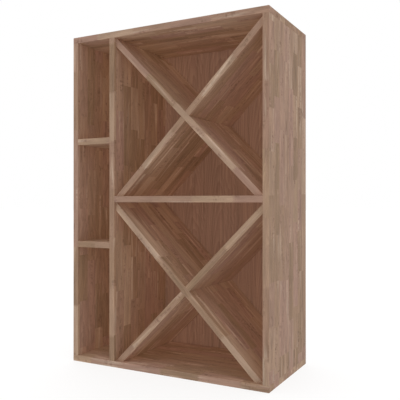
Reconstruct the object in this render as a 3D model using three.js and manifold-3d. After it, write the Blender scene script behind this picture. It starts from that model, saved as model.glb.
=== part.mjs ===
// A wine rack for bottles lying down: a carcase of glued laminated boards with a narrow column
// of three cells on its left and two square bays on its right, one over the other. Two boards
// cross each bay corner to corner and halve into one another, which makes four triangular cells.
// Wooden dowels hold the boards together, and a thin plywood back sits in a groove.
//
// Millimetres. The origin is the middle of the footprint on the floor: +X is to the right,
// -Y is to the front and +Z is up.

import * as THREE from "three";
import { mergeVertices } from "three/addons/utils/BufferGeometryUtils.js";
import Module from "manifold-3d";

// Overall sizes
const WIDTH = 647;
const DEPTH = 306;
const HEIGHT = 1000;

// Boards
const BOARD = 18; // thickness of every solid board
const COLUMN_WIDTH = 120; // clear width of the left-hand column
const BOTTOM_CELL_HEIGHT = 335; // clear height of the column's lowest cell
const CROSS_RECESS = 10; // how far the cross boards' front edges sit behind the shelves'

// Back panel
const BACK_THICKNESS = 6;
const BACK_INSET = 10; // from the carcase's rear edges to the panel's outer face
const GROOVE_DEPTH = 6; // how far the panel reaches into each carcase board

// Dowels
const DOWEL_DIAMETER = 8;
const DOWEL_LENGTH = 30;
const DOWEL_IN_FACE = 11; // the part of a dowel that sits in the face of a board
const DOWEL_CHAMFER = 1;
const DOWEL_SETBACK = 40; // from a board's front or rear edge to the first dowel's axis
const DOWEL_SIDES = 12;

// Clearances
const PLAY = 0.3; // round the dowels, round the back panel and round the cross boards
const PAST = 10; // how far a cutter runs on past the face that it opens

const BOARD_FINISH = { color: 0x94745f, roughness: 0.55, metalness: 0 };
const BACK_FINISH = { color: 0x7a5744, roughness: 0.6, metalness: 0 };
const DOWEL_FINISH = { color: 0xc8a982, roughness: 0.7, metalness: 0 };

// Planes that the boards share
const LEFT = -WIDTH / 2;
const RIGHT = WIDTH / 2;
const FRONT = -DEPTH / 2;
const REAR = DEPTH / 2;
const FLOOR_TOP = BOARD; // upper face of the bottom panel
const CEILING = HEIGHT - BOARD; // lower face of the top panel
const COLUMN_LEFT = LEFT + BOARD;
const COLUMN_RIGHT = COLUMN_LEFT + COLUMN_WIDTH;
const BAY_LEFT = COLUMN_RIGHT + BOARD;
const BAY_RIGHT = RIGHT - BOARD;
const BACK_OUTER = REAR - BACK_INSET;
const BACK_INNER = BACK_OUTER - BACK_THICKNESS;

// The middle shelf halves the right-hand side, and the cells over the column's lowest are equal.
const MIDDLE_SHELF_BASE = (HEIGHT - BOARD) / 2;
const LOWER_SHELF_BASE = FLOOR_TOP + BOTTOM_CELL_HEIGHT;
const UPPER_CELL_HEIGHT = (CEILING - LOWER_SHELF_BASE - 2 * BOARD) / 2;
const UPPER_SHELF_BASE = LOWER_SHELF_BASE + BOARD + UPPER_CELL_HEIGHT;

const wasm = await Module();
wasm.setup();

// ---------------------------------------------------------------- solids

function toSolid(geometry) {
  const bare = geometry.clone();
  bare.deleteAttribute("normal");
  bare.deleteAttribute("uv");
  const merged = mergeVertices(bare);
  return new wasm.Manifold(
    new wasm.Mesh({
      numProp: 3,
      vertProperties: new Float32Array(merged.attributes.position.array),
      triVerts: new Uint32Array(merged.index.array),
    }),
  );
}

function toGeometry(solid) {
  const mesh = solid.getMesh();
  const shared = new THREE.BufferGeometry();
  shared.setAttribute("position", new THREE.BufferAttribute(mesh.vertProperties, 3));
  shared.setIndex(new THREE.BufferAttribute(mesh.triVerts, 1));
  const flat = shared.toNonIndexed();
  flat.computeVertexNormals();
  return flat;
}

// A box between two corners. It is a unit cube sized and moved by one matrix, so that boards
// that meet on a plane have exactly the same coordinate there.
function boxGeometry({ low, high }) {
  const size = high.clone().sub(low);
  const centre = low.clone().add(high).multiplyScalar(0.5);
  const place = new THREE.Matrix4().compose(centre, new THREE.Quaternion(), size);
  return new THREE.BoxGeometry(1, 1, 1).applyMatrix4(place);
}

function makeMesh(name, geometry, finish) {
  const mesh = new THREE.Mesh(geometry, new THREE.MeshStandardMaterial(finish));
  mesh.name = name;
  return mesh;
}

// ---------------------------------------------------------------- board layout

function between(x0, x1, y0, y1, z0, z1) {
  return { low: new THREE.Vector3(x0, y0, z0), high: new THREE.Vector3(x1, y1, z1) };
}

function upright(x) {
  return between(x, x + BOARD, FRONT, REAR, FLOOR_TOP, CEILING);
}

function shelf(x0, x1, z) {
  return between(x0, x1, FRONT, BACK_INNER, z, z + BOARD);
}

const boards = {
  bottom_panel: between(LEFT, RIGHT, FRONT, REAR, 0, FLOOR_TOP),
  top_panel: between(LEFT, RIGHT, FRONT, REAR, CEILING, HEIGHT),
  left_side: upright(LEFT),
  right_side: upright(BAY_RIGHT),
  divider: between(COLUMN_RIGHT, BAY_LEFT, FRONT, BACK_INNER, FLOOR_TOP, CEILING),
  middle_shelf: shelf(BAY_LEFT, BAY_RIGHT, MIDDLE_SHELF_BASE),
  lower_column_shelf: shelf(COLUMN_LEFT, COLUMN_RIGHT, LOWER_SHELF_BASE),
  upper_column_shelf: shelf(COLUMN_LEFT, COLUMN_RIGHT, UPPER_SHELF_BASE),
};

const backPanel = between(
  COLUMN_LEFT - GROOVE_DEPTH,
  BAY_RIGHT + GROOVE_DEPTH,
  BACK_INNER,
  BACK_OUTER,
  FLOOR_TOP - GROOVE_DEPTH,
  CEILING + GROOVE_DEPTH,
);

// ---------------------------------------------------------------- dowel joints

// Each joint sets one board's end against the face of another. The dowels run along `into`,
// which points from the face into the end, and are `count` in a row from front to rear.
const UP = new THREE.Vector3(0, 0, 1);
const DOWN = new THREE.Vector3(0, 0, -1);
const TO_RIGHT = new THREE.Vector3(1, 0, 0);
const TO_LEFT = new THREE.Vector3(-1, 0, 0);

const joints = [
  ...["left_side", "divider", "right_side"].flatMap((board) => [
    { name: board + "_foot", board, onto: "bottom_panel", into: UP, count: 3 },
    { name: board + "_head", board, onto: "top_panel", into: DOWN, count: 3 },
  ]),
  { name: "middle_shelf_left", board: "middle_shelf", onto: "divider", into: TO_RIGHT, count: 3 },
  { name: "middle_shelf_right", board: "middle_shelf", onto: "right_side", into: TO_LEFT, count: 3 },
  ...["lower_column_shelf", "upper_column_shelf"].flatMap((board) => [
    { name: board + "_left", board, onto: "left_side", into: TO_RIGHT, count: 2 },
    { name: board + "_right", board, onto: "divider", into: TO_LEFT, count: 2 },
  ]),
];

// Where the dowels of a joint sit: the middles of their lengths, halfway through the board.
function dowelCentres({ board, into, count }) {
  const { low, high } = boards[board];
  const reach = Math.abs(high.clone().sub(low).dot(into)) / 2;
  const centre = low.clone().add(high).multiplyScalar(0.5);
  centre.addScaledVector(into, DOWEL_LENGTH / 2 - DOWEL_IN_FACE - reach);
  const first = low.y + DOWEL_SETBACK;
  const pitch = (high.y - DOWEL_SETBACK - first) / (count - 1);
  return Array.from({ length: count }, (_, i) => centre.clone().setY(first + i * pitch));
}

// Lathe and cylinder geometries stand along +Y, and this turns them along a joint.
function turnTo(into) {
  return new THREE.Quaternion().setFromUnitVectors(new THREE.Vector3(0, 1, 0), into);
}

function dowelGeometry() {
  const radius = DOWEL_DIAMETER / 2;
  const end = DOWEL_LENGTH / 2;
  const profile = [
    [0, -end],
    [radius - DOWEL_CHAMFER, -end],
    [radius, DOWEL_CHAMFER - end],
    [radius, end - DOWEL_CHAMFER],
    [radius - DOWEL_CHAMFER, end],
    [0, end],
  ];
  const points = profile.map(([r, y]) => new THREE.Vector2(r, y));
  return new THREE.LatheGeometry(points, DOWEL_SIDES);
}

function makeDowels() {
  const group = new THREE.Group();
  for (const joint of joints) {
    dowelCentres(joint).forEach((centre, i) => {
      const dowel = makeMesh("dowel_" + joint.name + "_" + (i + 1), dowelGeometry(), DOWEL_FINISH);
      dowel.position.copy(centre);
      dowel.quaternion.copy(turnTo(joint.into));
      group.add(dowel);
    });
  }
  return group;
}

function dowelHole(centre, into) {
  const radius = DOWEL_DIAMETER / 2 + PLAY;
  const hole = new THREE.CylinderGeometry(radius, radius, DOWEL_LENGTH + 2 * PLAY, DOWEL_SIDES);
  return toSolid(hole.applyQuaternion(turnTo(into)).translate(...centre));
}

// ---------------------------------------------------------------- carcase and shelves

function grooveSolid() {
  const play = new THREE.Vector3(PLAY, PLAY, PLAY);
  const low = backPanel.low.clone().sub(play);
  const high = backPanel.high.clone().add(play);
  return toSolid(boxGeometry({ low, high }));
}

// Every board is drilled for the joints that it shares. Those that reach past the back panel
// are grooved for it as well.
function makeBoard(name) {
  let solid = toSolid(boxGeometry(boards[name]));
  for (const joint of joints) {
    if (joint.board !== name && joint.onto !== name) continue;
    for (const centre of dowelCentres(joint)) {
      solid = solid.subtract(dowelHole(centre, joint.into));
    }
  }
  if (boards[name].high.y > BACK_INNER) {
    solid = solid.subtract(grooveSolid());
  }
  return makeMesh(name, toGeometry(solid), BOARD_FINISH);
}

function makeBackPanel() {
  return makeMesh("back_panel", boxGeometry(backPanel), BACK_FINISH);
}

// ---------------------------------------------------------------- cross boards

const CROSS_FRONT = FRONT + CROSS_RECESS;
const CROSS_REAR = BACK_INNER - PLAY;
const CROSS_MIDDLE = (CROSS_FRONT + CROSS_REAR) / 2;

// A strip that follows a bay's diagonal, in the bay's own frame: `above` and `below` are its
// faces' distances from the diagonal, measured square to it, and it runs from front to rear.
// A rising strip climbs to the right and a falling one climbs to the left.
function diagonalStrip(bay, rising, above, below, front, rear) {
  const steep = Math.hypot(bay.width, bay.height) / bay.width;
  const foot = rising ? 0 : bay.width;
  const head = bay.width - foot;
  const outline = new THREE.Shape([
    new THREE.Vector2(foot, above * steep),
    new THREE.Vector2(head, bay.height + above * steep),
    new THREE.Vector2(head, bay.height - below * steep),
    new THREE.Vector2(foot, -below * steep),
  ]);
  const strip = new THREE.ExtrudeGeometry(outline, { depth: rear - front, bevelEnabled: false });
  return toSolid(strip.rotateX(Math.PI / 2).translate(0, rear, 0));
}

// A cross board's upper face lies on the bay's diagonal. Its ends are trimmed to the bay, upright
// at the top and level at the bottom, and it is slotted halfway for the board that crosses it.
function crossBoardGeometry(bay, rising) {
  const low = new THREE.Vector3(PLAY, CROSS_FRONT, PLAY);
  const high = new THREE.Vector3(bay.width - PLAY, CROSS_REAR, bay.height - PLAY);
  const slotFront = rising ? CROSS_FRONT - PAST : CROSS_MIDDLE - PLAY / 2;
  const slotRear = rising ? CROSS_MIDDLE + PLAY / 2 : CROSS_REAR + PAST;
  const slot = diagonalStrip(bay, !rising, PLAY, BOARD + PLAY, slotFront, slotRear);
  const strip = diagonalStrip(bay, rising, 0, BOARD, CROSS_FRONT, CROSS_REAR);
  const trimmed = strip.intersect(toSolid(boxGeometry({ low, high })));
  return toGeometry(trimmed.subtract(slot));
}

function makeCross(name, base, top) {
  const bay = { width: BAY_RIGHT - BAY_LEFT, height: top - base };
  const group = new THREE.Group();
  group.position.set(BAY_LEFT, 0, base);
  group.add(makeMesh(name + "_rising_board", crossBoardGeometry(bay, true), BOARD_FINISH));
  group.add(makeMesh(name + "_falling_board", crossBoardGeometry(bay, false), BOARD_FINISH));
  return group;
}

// ---------------------------------------------------------------- assembly

const wineRack = new THREE.Group();
wineRack.name = "wine_rack";
wineRack.add(...Object.keys(boards).map(makeBoard));
wineRack.add(makeBackPanel());
wineRack.add(makeCross("lower_bay", FLOOR_TOP, MIDDLE_SHELF_BASE));
wineRack.add(makeCross("upper_bay", MIDDLE_SHELF_BASE + BOARD, CEILING));
wineRack.add(makeDowels());

export default wineRack;
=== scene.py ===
import math

import bmesh
import bpy
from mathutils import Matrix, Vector


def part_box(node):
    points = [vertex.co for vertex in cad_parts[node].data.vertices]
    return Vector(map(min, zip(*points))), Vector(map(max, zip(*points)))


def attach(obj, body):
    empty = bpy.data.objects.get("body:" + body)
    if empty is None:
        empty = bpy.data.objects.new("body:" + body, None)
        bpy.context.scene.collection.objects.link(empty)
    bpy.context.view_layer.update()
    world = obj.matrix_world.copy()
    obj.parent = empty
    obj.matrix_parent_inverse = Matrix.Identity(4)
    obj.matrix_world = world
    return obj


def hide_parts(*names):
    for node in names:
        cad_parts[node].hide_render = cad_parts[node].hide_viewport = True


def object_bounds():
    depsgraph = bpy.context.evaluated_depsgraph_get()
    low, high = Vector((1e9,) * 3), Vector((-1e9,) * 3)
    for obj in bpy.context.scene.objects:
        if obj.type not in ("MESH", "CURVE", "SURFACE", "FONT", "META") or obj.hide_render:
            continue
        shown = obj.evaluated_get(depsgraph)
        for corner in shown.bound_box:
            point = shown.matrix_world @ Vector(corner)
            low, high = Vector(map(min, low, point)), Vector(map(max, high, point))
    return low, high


# An upright wine rack in laminated hardwood. Every board is cut to its CAD node's size, eased along
# its edges, drilled for its dowels and grooved for the back, then finished with oil.
# Metres, in the frame of the CAD model: +X to the rack's right, -Y to its front, +Z up.

bl_info = {
    "name": "Wine Rack",
    "version": (1, 0, 0),
    "blender": (4, 5, 0),
    "location": "3D View > Sidebar > Wine Rack",
    "description": "Builds a laminated hardwood wine rack and a plain studio round it",
    "category": "Add Mesh",
}

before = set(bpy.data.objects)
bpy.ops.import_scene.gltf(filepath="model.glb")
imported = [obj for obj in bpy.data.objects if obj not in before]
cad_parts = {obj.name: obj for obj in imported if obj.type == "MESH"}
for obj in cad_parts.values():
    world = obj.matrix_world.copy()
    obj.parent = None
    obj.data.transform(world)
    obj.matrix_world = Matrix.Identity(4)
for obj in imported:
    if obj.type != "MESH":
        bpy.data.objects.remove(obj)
CAD_LOW, CAD_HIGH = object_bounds()

MM = 0.001
X = Vector((1, 0, 0))
Y = Vector((0, 1, 0))
Z = Vector((0, 0, 1))

# The three directions of a board: along its grain, across its staves and through its thickness.
LEVEL = (X, Y, Z)
UPRIGHT = (Z, Y, X)
BACK = (Z, X, Y)

BOARDS = {
    "bottom_panel": LEVEL,
    "top_panel": LEVEL,
    "left_side": UPRIGHT,
    "right_side": UPRIGHT,
    "divider": UPRIGHT,
    "middle_shelf": LEVEL,
    "lower_column_shelf": LEVEL,
    "upper_column_shelf": LEVEL,
}
ENDS_SHOWN = ("bottom_panel", "top_panel")
CROSS_BOARDS = (
    "lower_bay_rising_board",
    "lower_bay_falling_board",
    "upper_bay_rising_board",
    "upper_bay_falling_board",
)
DOWELS = sorted(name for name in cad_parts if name.startswith("dowel_"))

HARDWOOD = "Laminated oiled hardwood"
VENEER = "Flat-sliced hardwood veneer on plywood"
BEECH = "Fluted beech dowel"


def colour(hex_code):
    """An sRGB hex colour as linear red, green, blue and alpha."""
    channels = [int(hex_code[i : i + 2], 16) / 255 for i in (1, 3, 5)]
    linear = [c / 12.92 if c <= 0.04045 else ((c + 0.055) / 1.055) ** 2.4 for c in channels]
    return (*linear, 1.0)


# ------------------------------------------------------------------ settings


def length_setting(name, description, default):
    return bpy.props.FloatProperty(
        name=name, description=description, default=default, precision=5, unit="LENGTH", subtype="DISTANCE"
    )


def colour_setting(name, description, hex_code):
    return bpy.props.FloatVectorProperty(
        name=name, description=description, default=colour(hex_code), min=0, max=1, size=4, subtype="COLOR"
    )


class WineRackJoinery(bpy.types.PropertyGroup):
    """How the boards are worked."""

    arris: length_setting("Arris", "Radius sanded on the edges that show", 0.6 * MM)
    end_arris: length_setting("End arris", "Radius left on the ends that butt against a board", 0.2 * MM)
    play: length_setting("Play", "Room round a dowel, a crossing board or the back in its groove", 0.3 * MM)
    flutes: bpy.props.IntProperty(name="Flutes", description="Flutes round a dowel", default=16, min=6)
    flute_depth: length_setting("Flute depth", "Depth of the dowels' flutes", 0.25 * MM)
    chamfer: length_setting("Chamfer", "Chamfer on the dowels' ends", 1 * MM)


class WineRackWood(bpy.types.PropertyGroup):
    """The laminated hardwood, the veneer and the dowels."""

    stave_width: length_setting("Stave width", "Width of one glued strip", 38 * MM)
    block_length: length_setting("Block length", "Usual length between two finger joints", 170 * MM)
    ring_width: length_setting("Ring width", "Usual spacing of the growth rings", 3.2 * MM)
    umber: colour_setting("Umber", "Darkest staves", "#8C725B")
    brown: colour_setting("Brown", "Plain brown staves", "#947862")
    mauve: colour_setting("Mauve", "Pinkish staves and streaks", "#997A6B")
    tan: colour_setting("Tan", "Yellowish staves", "#9C816A")
    pale: colour_setting("Pale", "Palest staves", "#A68C77")
    sapwood: colour_setting("Sapwood", "Pale streaks of sapwood", "#B49E8C")
    pore: colour_setting("Pore", "Oil-darkened pores, fleck and pin knots", "#553C2E")
    veneer: colour_setting("Veneer", "The back panel's early wood", "#9B7F6E")
    veneer_late: colour_setting("Veneer rings", "The back panel's late wood", "#927566")
    beech: colour_setting("Beech", "The dowels", "#C9A985")


class WineRackStudio(bpy.types.PropertyGroup):
    """Floor, light and camera."""

    floor: colour_setting("Floor", "Matt acrylic floor", "#FBFBFB")
    floor_glow: bpy.props.FloatProperty(
        name="Floor glow",
        description="Share of the floor's light that comes from below",
        default=0.8,
        min=0,
        max=1,
    )
    floor_radius: length_setting("Floor radius", "Radius of the floor", 30.0)
    sky: bpy.props.FloatProperty(name="Sky", description="Strength of the white light", default=1.0)
    fill: bpy.props.FloatProperty(name="Fill", description="Twice-bounced light", default=1.45)
    overhead: bpy.props.FloatProperty(name="Overhead", description="Soft top light", default=0.6)
    lens: bpy.props.FloatProperty(name="Lens", description="Focal length in millimetres", default=51.7)
    turn: bpy.props.FloatProperty(
        name="Turn",
        description="How far round to the rack's right the camera stands",
        default=math.radians(28.15),
        subtype="ANGLE",
    )
    distance: length_setting("Distance", "From the camera to the front of the rack", 1.573)
    aim_right: length_setting("Aim right", "How far right of the middle the camera looks", 0.122)
    aim_height: length_setting("Aim height", "Height that the camera looks at", 0.4975)
    camera_height: length_setting("Camera height", "Height that the camera stands at", 0.4954)


# ------------------------------------------------------------------ nodes


def add(tree, kind, links=None, out=0, **settings):
    """Adds a node, sets it, and gives its inputs a value or a link. Returns one of its outputs."""
    made = tree.nodes.new(kind)
    for name, value in settings.items():
        setattr(made, name, value)
    for key, value in (links or {}).items():
        socket = made.inputs[key] if isinstance(key, int) else None
        socket = socket or next(s for s in made.inputs if key in (s.identifier, s.name))
        if isinstance(value, bpy.types.NodeSocket):
            tree.links.new(value, socket)
        else:
            socket.default_value = value
    return made.outputs[out] if len(made.outputs) else made


def new_material(name):
    material = bpy.data.materials.new(name)
    material.use_nodes = True
    material.node_tree.nodes.clear()
    return material, material.node_tree


def board_coordinates(tree):
    """Millimetres along, across and through a board from its middle, and the board's number."""
    grain = add(tree, "ShaderNodeAttribute", out="Vector", attribute_name="grain")
    grain_mm = add(tree, "ShaderNodeVectorMath", {0: grain, "Scale": 1 / MM}, operation="SCALE")
    split = add(tree, "ShaderNodeSeparateXYZ", {0: grain_mm}).node.outputs
    board = add(tree, "ShaderNodeAttribute", out="Fac", attribute_name="board")
    return split[0], split[1], split[2], board


def principled(tree, base, roughness, height, relief, **values):
    """Ends a material: a shader with a bump of the given relief in metres."""
    bump = add(tree, "ShaderNodeBump", {"Height": height, "Strength": 1.0, "Distance": relief})
    given = {"Base Color": base, "Roughness": roughness, "Normal": bump}
    shader = add(tree, "ShaderNodeBsdfPrincipled", given)
    for name, value in values.items():
        shader.node.inputs[name.replace("_", " ")].default_value = value
    add(tree, "ShaderNodeOutputMaterial", {"Surface": shader})


def grain_noise(tree, place, seed, along, across, detail=2.0):
    """Noise whose features are `along` by `across` millimetres in the wood's own directions."""
    scale = (1 / along, 1 / across, 1 / across)
    scaled = add(tree, "ShaderNodeVectorMath", {0: place, 1: scale}, operation="MULTIPLY")
    return add(
        tree,
        "ShaderNodeTexNoise",
        {"Vector": scaled, "W": seed, "Scale": 1.0, "Detail": detail},
        noise_dimensions="4D",
    )


def laminated_hardwood(wood):
    """Solid hardwood staves, finger-jointed end to end, glued side by side, planed, sanded and oiled.

    The eye sees strips of slightly different browns, long fine streaks, rings that run out in arches
    where a stave is flat-sawn, beaded dark fleck, short dark pores, and arcs on the ends. The oil
    leaves a low sheen.
    """
    material, tree = new_material(HARDWOOD)
    along, across, through, board = board_coordinates(tree)
    stave = wood.stave_width / MM
    block_length = wood.block_length / MM
    finger_pitch = 4.4
    finger_length = 9.0

    # Rows of staves, each shifted and stretched by its own random numbers.
    start = add(tree, "ShaderNodeTexWhiteNoise", {"W": board}, noise_dimensions="1D")
    rows = add(tree, "ShaderNodeMath", {0: across, 1: 1 / stave, 2: start}, operation="MULTIPLY_ADD")
    row = add(tree, "ShaderNodeMath", {0: rows}, operation="FLOOR")
    share = add(tree, "ShaderNodeMath", {0: rows}, operation="FRACT")
    in_row = add(tree, "ShaderNodeMath", {0: share, 1: stave, 2: -stave / 2}, operation="MULTIPLY_ADD")
    row_key = add(tree, "ShaderNodeCombineXYZ", {0: board, 1: row, 2: 0.5})
    row_dice = add(tree, "ShaderNodeTexWhiteNoise", {"Vector": row_key}, out="Color")
    row_random = add(tree, "ShaderNodeSeparateColor", {0: row_dice}).node.outputs

    # Blocks along a row. Their fingers zigzag through the thickness, so a face shows a straight joint.
    fingers = add(tree, "ShaderNodeMath", {0: through, 1: finger_pitch / 2}, operation="PINGPONG")
    slope = 2 * finger_length / finger_pitch
    jagged = add(tree, "ShaderNodeMath", {0: fingers, 1: slope, 2: along}, operation="MULTIPLY_ADD")
    stretch = add(
        tree,
        "ShaderNodeMapRange",
        {"Value": row_random[0], "To Min": 0.65 / block_length, "To Max": 1.5 / block_length},
    )
    shift = add(tree, "ShaderNodeMath", {0: row_random[1], 1: 40.0}, operation="MULTIPLY")
    run = add(tree, "ShaderNodeMath", {0: jagged, 1: stretch, 2: shift}, operation="MULTIPLY_ADD")
    block = add(tree, "ShaderNodeMath", {0: run}, operation="FLOOR")
    block_key = add(tree, "ShaderNodeCombineXYZ", {0: board, 1: row, 2: block})
    dice = add(tree, "ShaderNodeTexWhiteNoise", {"Vector": block_key}, out="Color")
    random = add(tree, "ShaderNodeSeparateColor", {0: dice}).node.outputs
    pick = add(tree, "ShaderNodeTexWhiteNoise", {"Vector": block_key})
    seed = add(tree, "ShaderNodeMath", {0: pick, 1: 60.0}, operation="MULTIPLY")

    # Growth rings round a pith that lies outside the stave and drifts away along it.
    place = add(tree, "ShaderNodeCombineXYZ", {0: along, 1: in_row, 2: through})
    wander = grain_noise(tree, place, seed, 110, 22).node.outputs["Color"]
    wander = add(tree, "ShaderNodeSeparateColor", {0: wander}).node.outputs
    pith_side = add(tree, "ShaderNodeMapRange", {"Value": random[0], "To Min": -45.0, "To Max": 45.0})
    pith_depth = add(tree, "ShaderNodeMapRange", {"Value": random[1], "To Min": 12.0, "To Max": 80.0})
    lean = add(tree, "ShaderNodeMapRange", {"Value": random[2], "To Min": -0.07, "To Max": 0.07})
    leaning = add(tree, "ShaderNodeMath", {0: along, 1: lean, 2: pith_depth}, operation="MULTIPLY_ADD")
    side = add(tree, "ShaderNodeMath", {0: wander[0], 1: 18.0, 2: in_row}, operation="MULTIPLY_ADD")
    side = add(tree, "ShaderNodeMath", {0: side, 1: pith_side}, operation="ADD")
    deep = add(tree, "ShaderNodeMath", {0: wander[1], 1: 18.0, 2: through}, operation="MULTIPLY_ADD")
    deep = add(tree, "ShaderNodeMath", {0: deep, 1: leaning}, operation="ADD")
    from_pith = add(tree, "ShaderNodeCombineXYZ", {0: side, 1: deep, 2: 0.0})
    radius = add(tree, "ShaderNodeVectorMath", {0: from_pith}, operation="LENGTH", out="Value")
    growth = add(
        tree,
        "ShaderNodeMapRange",
        {"Value": pick, "To Min": 0.65 * MM / wood.ring_width, "To Max": 1.5 * MM / wood.ring_width},
    )
    ring_count = add(tree, "ShaderNodeMath", {0: radius, 1: growth}, operation="MULTIPLY")
    ring = add(tree, "ShaderNodeMath", {0: ring_count}, operation="FRACT")
    late = add(
        tree,
        "ShaderNodeMapRange",
        {"Value": ring, "From Min": 0.2, "From Max": 0.95},
        interpolation_type="SMOOTHSTEP",
    )

    # Streaks from a third of a stave wide down to the fibres, and beaded fleck in clusters.
    broad = grain_noise(tree, place, seed, 140, 18)
    medium = grain_noise(tree, place, seed, 60, 8, 3.0)
    fibre = grain_noise(tree, place, seed, 30, 1.2, 3.0)
    blush = grain_noise(tree, place, seed, 90, 11)
    sapwood = grain_noise(tree, place, seed, 190, 13)
    cluster = grain_noise(tree, place, seed, 80, 14)
    beads = grain_noise(tree, place, seed, 6.5, 14)
    pore_noise = grain_noise(tree, place, seed, 4.5, 0.5, 1.0)

    bead_edge = add(tree, "ShaderNodeMapRange", {"Value": beads, "From Min": 0.46, "From Max": 0.6})
    bead_gate = add(tree, "ShaderNodeMapRange", {"Value": cluster, "From Min": 0.56, "From Max": 0.65})
    fleck = add(tree, "ShaderNodeMath", {0: bead_edge, 1: bead_gate}, operation="MULTIPLY")
    pore_edge = add(tree, "ShaderNodeMapRange", {"Value": pore_noise, "From Min": 0.6, "From Max": 0.7})
    early = add(tree, "ShaderNodeMath", {0: 1.15, 1: late}, operation="SUBTRACT")
    pores = add(tree, "ShaderNodeMath", {0: pore_edge, 1: early}, operation="MULTIPLY", use_clamp=True)
    knot_place = add(
        tree, "ShaderNodeVectorMath", {0: place, 1: (1 / 60, 1 / 28, 1 / 28)}, operation="MULTIPLY"
    )
    knot_place = add(tree, "ShaderNodeVectorMath", {0: knot_place, 1: seed}, operation="ADD")
    knots = add(tree, "ShaderNodeTexVoronoi", {"Vector": knot_place, "Scale": 1.0}).node.outputs
    knot_dice = add(tree, "ShaderNodeSeparateColor", {0: knots["Color"]})
    knot_gate = add(tree, "ShaderNodeMath", {0: knot_dice, 1: 0.8}, operation="GREATER_THAN")
    knot_edge = add(
        tree, "ShaderNodeMapRange", {"Value": knots["Distance"], "From Min": 0.1, "From Max": 0.04}
    )
    knot = add(tree, "ShaderNodeMath", {0: knot_edge, 1: knot_gate}, operation="MULTIPLY")

    # Colour: the block's own tone, blushed and paled in streaks, then shaded by streak and ring.
    tone = add(tree, "ShaderNodeValToRGB", {"Fac": pick})
    stops = tone.node.color_ramp.elements
    stops[0].color = wood.umber
    stops[1].color = wood.pale
    for position, value in ((0.25, wood.brown), (0.5, wood.mauve), (0.8, wood.tan)):
        stops.new(position).color = value
    blush = add(
        tree, "ShaderNodeMapRange", {"Value": blush, "From Min": 0.5, "From Max": 0.68, "To Max": 0.45}
    )
    sapwood = add(
        tree, "ShaderNodeMapRange", {"Value": sapwood, "From Min": 0.58, "From Max": 0.7, "To Max": 0.7}
    )
    base = add(
        tree,
        "ShaderNodeMix",
        {"Factor_Float": blush, "A_Color": tone, "B_Color": wood.mauve},
        out=2,
        data_type="RGBA",
    )
    base = add(
        tree,
        "ShaderNodeMix",
        {"Factor_Float": sapwood, "A_Color": base, "B_Color": wood.sapwood},
        out=2,
        data_type="RGBA",
    )
    shade = 1.0
    for streak, depth in ((broad, 0.22), (medium, 0.1), (fibre, 0.06)):
        streak = add(
            tree,
            "ShaderNodeMapRange",
            {"Value": streak, "From Min": 0.25, "From Max": 0.75, "To Min": 1 - depth, "To Max": 1 + depth},
        )
        shade = add(tree, "ShaderNodeMath", {0: shade, 1: streak}, operation="MULTIPLY")
    ring_shade = add(tree, "ShaderNodeMapRange", {"Value": late, "To Min": 1.06, "To Max": 0.9})
    shade = add(tree, "ShaderNodeMath", {0: shade, 1: ring_shade}, operation="MULTIPLY")
    base = add(tree, "ShaderNodeVectorMath", {0: base, "Scale": shade}, operation="SCALE")
    spots = add(tree, "ShaderNodeMath", {0: pores, 1: 0.3}, operation="MULTIPLY")
    fleck_weight = add(tree, "ShaderNodeMath", {0: fleck, 1: 0.4}, operation="MULTIPLY")
    knot_weight = add(tree, "ShaderNodeMath", {0: knot, 1: 0.75}, operation="MULTIPLY")
    spots = add(tree, "ShaderNodeMath", {0: spots, 1: fleck_weight}, operation="MAXIMUM")
    spots = add(tree, "ShaderNodeMath", {0: spots, 1: knot_weight}, operation="MAXIMUM")
    base = add(
        tree,
        "ShaderNodeMix",
        {"Factor_Float": spots, "A_Color": base, "B_Color": wood.pore},
        out=2,
        data_type="RGBA",
    )

    # End grain drinks the oil and stays duller, and the sanded arrises are painted a little paler: partly
    # rubbed wear, partly a painted highlight along the edges.
    half = add(tree, "ShaderNodeAttribute", out="Vector", attribute_name="half_size")
    grain = add(tree, "ShaderNodeAttribute", out="Vector", attribute_name="grain")
    reach = add(tree, "ShaderNodeVectorMath", {0: grain}, operation="ABSOLUTE")
    inset = add(tree, "ShaderNodeVectorMath", {0: half, 1: reach}, operation="SUBTRACT")
    inset = add(tree, "ShaderNodeSeparateXYZ", {0: inset}).node.outputs
    end = add(tree, "ShaderNodeMapRange", {"Value": inset[0], "From Min": 0.4 * MM, "From Max": 0.1 * MM})
    edge = add(tree, "ShaderNodeMath", {0: inset[1], 1: inset[2]}, operation="ADD")
    arris_wear_and_highlight = add(tree, "ShaderNodeMapRange", {"Value": edge, "From Min": 1.6 * MM, "From Max": 0.3 * MM})
    patchy = add(tree, "ShaderNodeTexNoise", {"Vector": place, "Scale": 0.05, "Detail": 3.0})
    worn_and_highlit = add(tree, "ShaderNodeMath", {0: arris_wear_and_highlight, 1: patchy}, operation="MULTIPLY")
    # Painted highlight: within about 1.6 mm of an edge the colour is raised by up to a fifth, part rubbed
    # wear and part painted highlight.
    wear_and_highlight_gain = add(tree, "ShaderNodeMapRange", {"Value": worn_and_highlit, "To Min": 1.0, "To Max": 1.2})
    base = add(tree, "ShaderNodeVectorMath", {0: base, "Scale": wear_and_highlight_gain}, operation="SCALE")

    roughness = add(tree, "ShaderNodeMapRange", {"Value": fibre, "To Min": 0.5, "To Max": 0.68})
    roughness = add(tree, "ShaderNodeMath", {0: spots, 1: 0.2, 2: roughness}, operation="MULTIPLY_ADD")
    roughness = add(tree, "ShaderNodeMath", {0: end, 1: 0.15, 2: roughness}, operation="MULTIPLY_ADD")
    height = add(tree, "ShaderNodeMath", {0: fibre, 1: 0.35, 2: late}, operation="MULTIPLY_ADD")
    height = add(tree, "ShaderNodeMath", {0: pores, 1: -1.6, 2: height}, operation="MULTIPLY_ADD")
    principled(tree, base, roughness, height, 0.06 * MM, IOR=1.5, Specular_IOR_Level=0.08)
    return material


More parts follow.
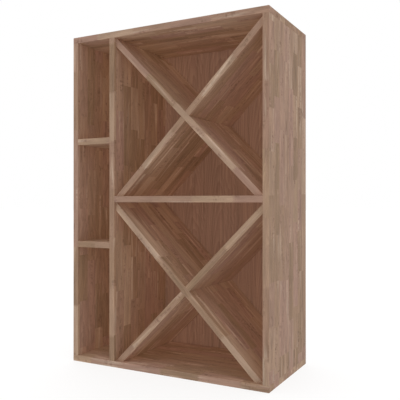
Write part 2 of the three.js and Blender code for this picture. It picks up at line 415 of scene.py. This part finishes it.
def sliced_veneer(wood):
    """Flat-sliced veneer pressed on thin plywood, upright, and oiled like the boards.

    The eye sees leaves of fine upright lines that close in tall arches at the middle of each leaf.
    """
    material, tree = new_material(VENEER)
    along, across, through, _ = board_coordinates(tree)
    leaf_width = 128.0
    line_pitch = 4.0

    leaves = add(tree, "ShaderNodeMath", {0: across, 1: 1 / leaf_width, 2: 0.1}, operation="MULTIPLY_ADD")
    leaf = add(tree, "ShaderNodeMath", {0: leaves}, operation="FLOOR")
    share = add(tree, "ShaderNodeMath", {0: leaves}, operation="FRACT")
    in_leaf = add(
        tree, "ShaderNodeMath", {0: share, 1: leaf_width, 2: -leaf_width / 2}, operation="MULTIPLY_ADD"
    )
    dice = add(tree, "ShaderNodeTexWhiteNoise", {"W": leaf}, noise_dimensions="1D", out="Color")
    random = add(tree, "ShaderNodeSeparateColor", {0: dice}).node.outputs
    place = add(tree, "ShaderNodeCombineXYZ", {0: along, 1: in_leaf, 2: through})

    # Tall arches: rings round a pith behind the leaf, which leans away from it up the panel.
    wander = grain_noise(tree, place, leaf, 150, 34, 3.0)
    middle = add(tree, "ShaderNodeMapRange", {"Value": random[0], "To Min": -45.0, "To Max": 20.0})
    side = add(tree, "ShaderNodeMath", {0: in_leaf, 1: middle}, operation="ADD")
    swayed = add(tree, "ShaderNodeMath", {0: wander, 1: 30.0, 2: side}, operation="MULTIPLY_ADD")
    depth = add(tree, "ShaderNodeMath", {0: along, 1: 0.07, 2: 52.0}, operation="MULTIPLY_ADD")
    depth = add(tree, "ShaderNodeMath", {0: wander, 1: 16.0, 2: depth}, operation="MULTIPLY_ADD")
    from_pith = add(tree, "ShaderNodeCombineXYZ", {0: swayed, 1: depth, 2: 0.0})
    radius = add(tree, "ShaderNodeVectorMath", {0: from_pith}, operation="LENGTH", out="Value")
    ring_count = add(tree, "ShaderNodeMath", {0: radius, 1: 1 / line_pitch}, operation="MULTIPLY")
    ring = add(tree, "ShaderNodeMath", {0: ring_count}, operation="FRACT")
    late = add(
        tree,
        "ShaderNodeMapRange",
        {"Value": ring, "From Min": 0.1, "From Max": 0.95},
        interpolation_type="SMOOTHSTEP",
    )
    lines = grain_noise(tree, place, leaf, 200, 5)
    fibre = grain_noise(tree, place, leaf, 40, 1.2, 3.0)
    pore_noise = grain_noise(tree, place, leaf, 6, 0.5, 1.0)
    pores = add(tree, "ShaderNodeMapRange", {"Value": pore_noise, "From Min": 0.6, "From Max": 0.7})

    base = add(
        tree,
        "ShaderNodeMix",
        {"Factor_Float": late, "A_Color": wood.veneer, "B_Color": wood.veneer_late},
        out=2,
        data_type="RGBA",
    )
    shade = add(tree, "ShaderNodeMapRange", {"Value": random[1], "To Min": 0.97, "To Max": 1.03})
    for streak, depth in ((lines, 0.2), (fibre, 0.08)):
        streak = add(
            tree,
            "ShaderNodeMapRange",
            {"Value": streak, "From Min": 0.25, "From Max": 0.75, "To Min": 1 - depth, "To Max": 1 + depth},
        )
        shade = add(tree, "ShaderNodeMath", {0: shade, 1: streak}, operation="MULTIPLY")
    base = add(tree, "ShaderNodeVectorMath", {0: base, "Scale": shade}, operation="SCALE")
    pore_weight = add(tree, "ShaderNodeMath", {0: pores, 1: 0.35}, operation="MULTIPLY")
    base = add(
        tree,
        "ShaderNodeMix",
        {"Factor_Float": pore_weight, "A_Color": base, "B_Color": wood.pore},
        out=2,
        data_type="RGBA",
    )
    roughness = add(tree, "ShaderNodeMapRange", {"Value": fibre, "To Min": 0.54, "To Max": 0.7})
    height = add(tree, "ShaderNodeMath", {0: pores, 1: -1.2, 2: late}, operation="MULTIPLY_ADD")
    principled(tree, base, roughness, height, 0.04 * MM, IOR=1.5, Specular_IOR_Level=0.08)
    return material


def turned_beech(wood):
    """Beech rod, turned and pressed with flutes. The eye sees a pale, even wood with tiny ray flecks."""
    material, tree = new_material(BEECH)
    place = add(tree, "ShaderNodeTexCoord", out="Object")
    fleck = add(tree, "ShaderNodeTexNoise", {"Vector": place, "Scale": 0.6 / MM, "Detail": 2.0})
    cloud = add(tree, "ShaderNodeTexNoise", {"Vector": place, "Scale": 0.05 / MM, "Detail": 2.0})
    dark = add(
        tree,
        "ShaderNodeMapRange",
        {"Value": fleck, "From Min": 0.58, "From Max": 0.7, "To Max": 0.35},
    )
    shade = add(tree, "ShaderNodeMapRange", {"Value": cloud, "To Min": 0.88, "To Max": 1.08})
    base = add(tree, "ShaderNodeVectorMath", {0: wood.beech[:3], "Scale": shade}, operation="SCALE")
    base = add(
        tree,
        "ShaderNodeMix",
        {"Factor_Float": dark, "A_Color": base, "B_Color": wood.pore},
        out=2,
        data_type="RGBA",
    )
    roughness = add(tree, "ShaderNodeMapRange", {"Value": fleck, "To Min": 0.62, "To Max": 0.78})
    principled(tree, base, roughness, fleck, 0.05 * MM, IOR=1.5)
    return material


def light_table(studio):
    """Matt white acrylic lit from below. The eye sees a pale floor where shadows stay faint."""
    material, tree = new_material("Backlit matt acrylic")
    place = add(tree, "ShaderNodeTexCoord", out="Object")
    stipple = add(tree, "ShaderNodeTexNoise", {"Vector": place, "Scale": 0.4 / MM, "Detail": 2.0})
    cloud = add(tree, "ShaderNodeTexNoise", {"Vector": place, "Scale": 1.5, "Detail": 2.0})
    shade = add(tree, "ShaderNodeMapRange", {"Value": cloud, "To Min": 0.985, "To Max": 1.0})
    shade = add(tree, "ShaderNodeMath", {0: shade, 1: 1 - studio.floor_glow}, operation="MULTIPLY")
    base = add(tree, "ShaderNodeVectorMath", {0: studio.floor[:3], "Scale": shade}, operation="SCALE")
    glow = {"Emission_Color": studio.floor, "Emission_Strength": studio.floor_glow}
    principled(tree, base, 0.8, stipple, 0.05 * MM, IOR=1.45, **glow)
    return material


# ------------------------------------------------------------------ meshes


def new_object(name, mesh):
    made = bpy.data.objects.new(name, mesh)
    bpy.context.scene.collection.objects.link(made)
    return made


def apply_modifiers(made):
    """Turns the object's evaluated shape into its plain mesh."""
    graph = bpy.context.evaluated_depsgraph_get()
    mesh = bpy.data.meshes.new_from_object(made.evaluated_get(graph))
    worked = made.data
    made.modifiers.clear()
    made.data = mesh
    bpy.data.meshes.remove(worked)


def remove_objects(*gone):
    for item in gone:
        mesh = item.data
        bpy.data.objects.remove(item)
        bpy.data.meshes.remove(mesh)


def extruded(name, outline, front, rear):
    """A solid with an upright outline of (x, z) corners, run from front to rear."""
    count = len(outline)
    corners = [(x, y, z) for y in (front, rear) for x, z in outline]
    sides = [(i, (i + 1) % count, count + (i + 1) % count, count + i) for i in range(count)]
    ends = [range(count), range(2 * count - 1, count - 1, -1)]
    mesh = bpy.data.meshes.new(name)
    mesh.from_pydata(corners, [], [*ends, *sides])
    shape = bmesh.new()
    shape.from_mesh(mesh)
    bmesh.ops.recalc_face_normals(shape, faces=shape.faces)
    shape.to_mesh(mesh)
    shape.free()
    return new_object(name, mesh)


def rectangle(low, high):
    return [(low.x, low.z), (high.x, low.z), (high.x, high.z), (low.x, high.z)]


def ease_edges(board, along, ends_shown, joinery):
    """Rounds the long edges, and the end edges less unless they show."""
    end_weight = 1.0 if ends_shown else joinery.end_arris / joinery.arris
    mesh = board.data
    weights = mesh.attributes.new("bevel_weight_edge", "FLOAT", "EDGE")
    for edge in mesh.edges:
        a, b = (mesh.vertices[i].co for i in edge.vertices)
        is_long = abs((b - a).normalized().dot(along)) > 0.999
        weights.data[edge.index].value = 1.0 if is_long else end_weight
    bevel = board.modifiers.new("Arris", "BEVEL")
    bevel.limit_method = "WEIGHT"
    bevel.width = joinery.arris
    bevel.segments = 3


def cut_with(board, cutter):
    cut = board.modifiers.new(cutter.name, "BOOLEAN")
    cut.operation = "DIFFERENCE"
    cut.solver = "EXACT"
    cut.object = cutter


def stamp(mesh, name, values):
    """Stores one number or vector for every point of the mesh under that name."""
    is_number = isinstance(values[0], (int, float))
    attribute = mesh.attributes.new(name, "FLOAT" if is_number else "FLOAT_VECTOR", "POINT")
    flat = values if is_number else [part for vector in values for part in vector]
    attribute.data.foreach_set("value" if is_number else "vector", flat)


def stamp_grain(board, directions, centre, half, number):
    """Gives every point its place in the board's own grain, the board's half size and its number."""
    mesh = board.data
    offsets = [vertex.co - centre for vertex in mesh.vertices]
    stamp(mesh, "grain", [[offset.dot(direction) for direction in directions] for offset in offsets])
    stamp(mesh, "half_size", [half] * len(offsets))
    stamp(mesh, "board", [number] * len(offsets))


def finish_piece(piece, material, slot, *nodes):
    """Flat faces and smooth arrises, one material, a parent at the root, and the CAD nodes that the piece
    stands for hidden.
    """
    piece.data.shade_smooth()
    piece.data.set_sharp_from_angle(angle=math.radians(35))
    piece.modifiers.new("Flat faces", "WEIGHTED_NORMAL").keep_sharp = True
    apply_modifiers(piece)
    piece.data.materials.clear()
    piece.data.materials.append(material)
    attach(piece, "root")
    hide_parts(*nodes)


def board_number(node):
    """A different whole number for every board, which picks its staves."""
    return 1 + (*BOARDS, *CROSS_BOARDS, "back_panel").index(node)


# ------------------------------------------------------------------ dowels


def dowel_tree():
    """Geometry Nodes that put a fluted rod with chamfered ends at every point, along its axis."""
    tree = bpy.data.node_groups.new("Dowels", "GeometryNodeTree")
    tree.is_modifier = True
    face = tree.interface
    face.new_socket("Points", in_out="INPUT", socket_type="NodeSocketGeometry")
    for name in ("Radius", "Length", "Chamfer", "Flute Depth"):
        face.new_socket(name, in_out="INPUT", socket_type="NodeSocketFloat")
    face.new_socket("Flutes", in_out="INPUT", socket_type="NodeSocketInt")
    face.new_socket("Material", in_out="INPUT", socket_type="NodeSocketMaterial")
    face.new_socket("Dowels", in_out="OUTPUT", socket_type="NodeSocketGeometry")
    given = add(tree, "NodeGroupInput").node.outputs

    # Four rings down the rod: the two ends, and where the chamfers meet the full radius.
    line = add(tree, "GeometryNodeCurvePrimitiveLine", {"End": (0, 0, 1)})
    line = add(tree, "GeometryNodeSubdivideCurve", {"Curve": line, "Cuts": 2})
    index = add(tree, "GeometryNodeInputIndex")
    from_middle = add(tree, "ShaderNodeMath", {0: index, 1: 1.5}, operation="SUBTRACT")
    way = add(tree, "ShaderNodeMath", {0: from_middle}, operation="SIGN")
    away = add(tree, "ShaderNodeMath", {0: from_middle}, operation="ABSOLUTE")
    inner = add(tree, "ShaderNodeMath", {0: away, 1: 1.0}, operation="LESS_THAN")
    half = add(tree, "ShaderNodeMath", {0: given["Length"], 1: 0.5}, operation="MULTIPLY")
    drawn_in = add(tree, "ShaderNodeMath", {0: inner, 1: given["Chamfer"]}, operation="MULTIPLY")
    reach = add(tree, "ShaderNodeMath", {0: half, 1: drawn_in}, operation="SUBTRACT")
    height = add(tree, "ShaderNodeMath", {0: way, 1: reach}, operation="MULTIPLY")
    spot = add(tree, "ShaderNodeCombineXYZ", {2: height})
    line = add(tree, "GeometryNodeSetPosition", {"Geometry": line, "Position": spot})
    outer = add(tree, "ShaderNodeMath", {0: 1.0, 1: inner}, operation="SUBTRACT")
    lost = add(tree, "ShaderNodeMath", {0: outer, 1: given["Chamfer"]}, operation="MULTIPLY")
    ring_radius = add(tree, "ShaderNodeMath", {0: given["Radius"], 1: lost}, operation="SUBTRACT")
    ring_scale = add(tree, "ShaderNodeMath", {0: ring_radius, 1: given["Radius"]}, operation="DIVIDE")

    flute_radius = add(
        tree, "ShaderNodeMath", {0: given["Radius"], 1: given["Flute Depth"]}, operation="SUBTRACT"
    )
    star = {"Points": given["Flutes"], "Inner Radius": flute_radius, "Outer Radius": given["Radius"]}
    section = add(tree, "GeometryNodeCurveStar", star)
    swept = {"Curve": line, "Profile Curve": section, "Scale": ring_scale, "Fill Caps": True}
    rod = add(tree, "GeometryNodeCurveToMesh", swept)
    axis = add(tree, "GeometryNodeInputNamedAttribute", {"Name": "axis"}, data_type="FLOAT_VECTOR")
    turn = add(tree, "FunctionNodeAlignRotationToVector", {"Vector": axis}, axis="Z")
    placed = {"Points": given["Points"], "Instance": rod, "Rotation": turn}
    copies = add(tree, "GeometryNodeInstanceOnPoints", placed)
    real = add(tree, "GeometryNodeRealizeInstances", {"Geometry": copies})
    done = add(tree, "GeometryNodeSetMaterial", {"Geometry": real, "Material": given["Material"]})
    add(tree, "NodeGroupOutput", {"Dowels": done})
    return tree


def dowel_axis(node):
    """The middle of a dowel, the direction that it runs in, its radius and its length."""
    low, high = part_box(node)
    size = high - low
    axis = max((X, Y, Z), key=size.dot)
    return (low + high) / 2, axis, min(size) / 2, max(size)


def make_rods(name, nodes, grow, chamfer, flute_depth, flutes, material):
    """Rods where the named dowels are, `grow` larger all round, as one plain mesh."""
    places = [dowel_axis(node) for node in nodes]
    mesh = bpy.data.meshes.new(name)
    mesh.from_pydata([centre for centre, *_ in places], [], [])
    stamp(mesh, "axis", [axis for _, axis, *_ in places])
    rods = new_object(name, mesh)
    tree = bpy.data.node_groups.get("Dowels") or dowel_tree()
    modifier = rods.modifiers.new("Dowels", "NODES")
    modifier.node_group = tree
    _, _, radius, length = places[0]
    values = {
        "Radius": radius + grow,
        "Length": length + 2 * grow,
        "Chamfer": chamfer,
        "Flute Depth": flute_depth,
        "Flutes": flutes,
        "Material": material,
    }
    for socket in tree.interface.items_tree:
        if socket.name in values:
            modifier[socket.identifier] = values[socket.name]
    apply_modifiers(rods)
    return rods


def boxes_meet(first, second):
    """Whether two boxes overlap by more than a touch."""
    (low_a, high_a), (low_b, high_b) = first, second
    touch = 0.1 * MM
    return all(low_a[i] + touch < high_b[i] and low_b[i] + touch < high_a[i] for i in range(3))


# ------------------------------------------------------------------ boards


def cut_grooves_and_holes(board, node, joinery):
    """Cuts the board for the dowels and the back panel that reach into it. Returns the cutters."""
    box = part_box(node)
    play = Vector((joinery.play,) * 3)
    cutters = []
    drilled = [dowel for dowel in DOWELS if boxes_meet(box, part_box(dowel))]
    if drilled:
        cutters.append(make_rods("drill", drilled, joinery.play, joinery.chamfer / 2, 0, 12, None))
    low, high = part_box("back_panel")
    if boxes_meet(box, (low, high)):
        outline = rectangle(low - play, high + play)
        cutters.append(extruded("groove", outline, low.y - play.y, high.y + play.y))
    for cutter in cutters:
        cut_with(board, cutter)
    return cutters


def make_board(node, directions, joinery, material):
    low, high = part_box(node)
    board = extruded("finished_" + node, rectangle(low, high), low.y, high.y)
    ease_edges(board, directions[0], node in ENDS_SHOWN, joinery)
    cutters = cut_grooves_and_holes(board, node, joinery)
    apply_modifiers(board)
    remove_objects(*cutters)
    half = [(high - low).dot(direction) / 2 for direction in directions]
    stamp_grain(board, directions, (low + high) / 2, half, board_number(node))
    finish_piece(board, material, "laminated_hardwood", node)


def cross_outline(low, high, rising, above, below):
    """Upright outline of a board on a bay's diagonal, from `above` its upper face to `below` it."""
    width = high.x - low.x
    height = high.z - low.z
    slant = math.hypot(width, height)
    near, far = (low.x, high.x) if rising else (high.x, low.x)
    lift = above * slant / width
    drop = below * slant / width
    if above:
        return [(near, low.z + lift), (far, high.z + lift), (far, high.z - drop), (near, low.z - drop)]
    run = (far - near) / width * below * slant / height
    return [(near, low.z), (far, high.z), (far, high.z - drop), (near + run, low.z)]


def make_cross_board(node, joinery, material):
    """A board on a bay's diagonal, halved over the board that crosses it."""
    rising = "rising" in node
    low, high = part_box(node)
    shelf_low, shelf_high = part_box("middle_shelf")
    thickness = shelf_high.z - shelf_low.z
    play = joinery.play
    board = extruded("finished_" + node, cross_outline(low, high, rising, 0, thickness), low.y, high.y)
    along = Vector((high.x - low.x, 0, (high.z - low.z) * (1 if rising else -1))).normalized()
    ease_edges(board, along, False, joinery)

    middle = (low.y + high.y) / 2
    past = 10 * MM  # how far the cutter stands out of the board, so that the slot is open
    front, rear = (low.y - past, middle + play / 2) if rising else (middle - play / 2, high.y + past)
    slot = extruded("slot", cross_outline(low, high, not rising, play, thickness + play), front, rear)
    cut_with(board, slot)
    apply_modifiers(board)
    remove_objects(slot)

    through = Y.cross(along)
    half = [(high - low).length / 2, (high.y - low.y) / 2, thickness / 2]
    centre = (low + high) / 2 - through * math.copysign(thickness / 2, through.z)
    stamp_grain(board, (along, Y, through), centre, half, board_number(node))
    finish_piece(board, material, "laminated_hardwood", node)


# ------------------------------------------------------------------ operators


def shared_material(name, make, wood):
    """The material of that name, which `make` makes the first time."""
    return bpy.data.materials.get(name) or make(wood)


class WINERACK_OT_carcase(bpy.types.Operator):
    """Makes the panels, sides, divider and shelves: drilled, grooved and eased"""

    bl_idname = "winerack.carcase"
    bl_label = "Carcase and shelves"

    def execute(self, context):
        joinery = context.scene.wine_rack_joinery
        material = shared_material(HARDWOOD, laminated_hardwood, context.scene.wine_rack_wood)
        for node, directions in BOARDS.items():
            make_board(node, directions, joinery, material)
        return {"FINISHED"}


class WINERACK_OT_cross_boards(bpy.types.Operator):
    """Makes the boards that cross the two bays, halved over one another"""

    bl_idname = "winerack.cross_boards"
    bl_label = "Cross boards"

    def execute(self, context):
        joinery = context.scene.wine_rack_joinery
        material = shared_material(HARDWOOD, laminated_hardwood, context.scene.wine_rack_wood)
        for node in CROSS_BOARDS:
            make_cross_board(node, joinery, material)
        return {"FINISHED"}


class WINERACK_OT_back(bpy.types.Operator):
    """Makes the veneered back panel"""

    bl_idname = "winerack.back"
    bl_label = "Back panel"

    def execute(self, context):
        joinery = context.scene.wine_rack_joinery
        material = shared_material(VENEER, sliced_veneer, context.scene.wine_rack_wood)
        low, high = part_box("back_panel")
        panel = extruded("finished_back_panel", rectangle(low, high), low.y, high.y)
        bevel = panel.modifiers.new("Arris", "BEVEL")
        bevel.width = joinery.end_arris
        bevel.segments = 2
        apply_modifiers(panel)
        half = [(high - low).dot(direction) / 2 for direction in BACK]
        stamp_grain(panel, BACK, (low + high) / 2, half, board_number("back_panel"))
        finish_piece(panel, material, "veneered_plywood", "back_panel")
        return {"FINISHED"}


class WINERACK_OT_dowels(bpy.types.Operator):
    """Makes the fluted dowels inside the joints"""

    bl_idname = "winerack.dowels"
    bl_label = "Dowels"

    def execute(self, context):
        joinery = context.scene.wine_rack_joinery
        material = shared_material(BEECH, turned_beech, context.scene.wine_rack_wood)
        dowels = make_rods(
            "fluted_dowels", DOWELS, 0, joinery.chamfer, joinery.flute_depth, joinery.flutes, material
        )
        finish_piece(dowels, material, "beech_dowel", *DOWELS)
        return {"FINISHED"}


class WINERACK_OT_studio(bpy.types.Operator):
    """Sets a pale floor, even white light and a camera round the rack"""

    bl_idname = "winerack.studio"
    bl_label = "Studio"

    def execute(self, context):
        scene = context.scene
        studio = scene.wine_rack_studio
        shape = bmesh.new()
        bmesh.ops.create_circle(shape, cap_ends=True, segments=96, radius=studio.floor_radius)
        bmesh.ops.translate(shape, verts=shape.verts, vec=Z * CAD_LOW[2])
        mesh = bpy.data.meshes.new("floor")
        shape.to_mesh(mesh)
        shape.free()
        floor = new_object("floor", mesh)
        floor.data.materials.append(light_table(studio))
        floor.visible_diffuse = False  # the white light from below stands for the floor's own bounce

        world = bpy.data.worlds.new("White studio")
        world.use_nodes = True
        sky = world.node_tree.nodes["Background"]
        sky.inputs["Color"].default_value = (1, 1, 1, 1)
        sky.inputs["Strength"].default_value = studio.sky
        world.light_settings.ao_factor = studio.fill
        world.light_settings.distance = 1 * MM
        scene.world = world
        scene.view_settings.view_transform = "Standard"

        # Light that has bounced off two surfaces counts as even fill, as between white studio walls.
        # It is about a quarter of the light at the front of the cells and up to four fifths at the back.
        scene.cycles.use_fast_gi = True
        scene.cycles.fast_gi_method = "REPLACE"
        scene.cycles.ao_bounces = 2
        scene.cycles.ao_bounces_render = 2

        overhead = bpy.data.lights.new("Overhead", "SUN")
        overhead.energy = studio.overhead
        overhead.angle = math.radians(50)
        scene.collection.objects.link(bpy.data.objects.new("Overhead", overhead))

        lens = bpy.data.cameras.new("Camera")
        lens.lens = studio.lens
        lens.sensor_width = 36
        lens.clip_end = 100
        camera = bpy.data.objects.new("Camera", lens)
        scene.collection.objects.link(camera)
        aim = Vector((studio.aim_right, CAD_LOW[1], studio.aim_height))
        back_off = Vector((math.sin(studio.turn), -math.cos(studio.turn), 0)) * studio.distance
        camera.location = aim + back_off
        camera.location.z = studio.camera_height
        camera.rotation_euler = (aim - camera.location).to_track_quat("-Z", "Y").to_euler()
        scene.camera = camera
        return {"FINISHED"}


class WINERACK_PT_panel(bpy.types.Panel):
    """Wine rack settings and steps"""

    bl_idname = "WINERACK_PT_panel"
    bl_label = "Wine Rack"
    bl_space_type = "VIEW_3D"
    bl_region_type = "UI"
    bl_category = "Wine Rack"

    def draw(self, context):
        scene = context.scene
        for settings in (scene.wine_rack_joinery, scene.wine_rack_wood, scene.wine_rack_studio):
            box = self.layout.box()
            for name in settings.__annotations__:
                box.prop(settings, name)
        for step in STEPS:
            self.layout.operator(step.bl_idname)


STEPS = (
    WINERACK_OT_studio,
    WINERACK_OT_carcase,
    WINERACK_OT_cross_boards,
    WINERACK_OT_back,
    WINERACK_OT_dowels,
)
CLASSES = (WineRackJoinery, WineRackWood, WineRackStudio, *STEPS, WINERACK_PT_panel)


def register():
    for item in CLASSES:
        bpy.utils.register_class(item)
    bpy.types.Scene.wine_rack_joinery = bpy.props.PointerProperty(type=WineRackJoinery)
    bpy.types.Scene.wine_rack_wood = bpy.props.PointerProperty(type=WineRackWood)
    bpy.types.Scene.wine_rack_studio = bpy.props.PointerProperty(type=WineRackStudio)


def unregister():
    del bpy.types.Scene.wine_rack_joinery
    del bpy.types.Scene.wine_rack_wood
    del bpy.types.Scene.wine_rack_studio
    for item in reversed(CLASSES):
        bpy.utils.unregister_class(item)


def main():
    register()
    bpy.ops.winerack.studio()
    bpy.ops.winerack.carcase()
    bpy.ops.winerack.cross_boards()
    bpy.ops.winerack.back()
    bpy.ops.winerack.dowels()


if __name__ == "__main__":
    main()
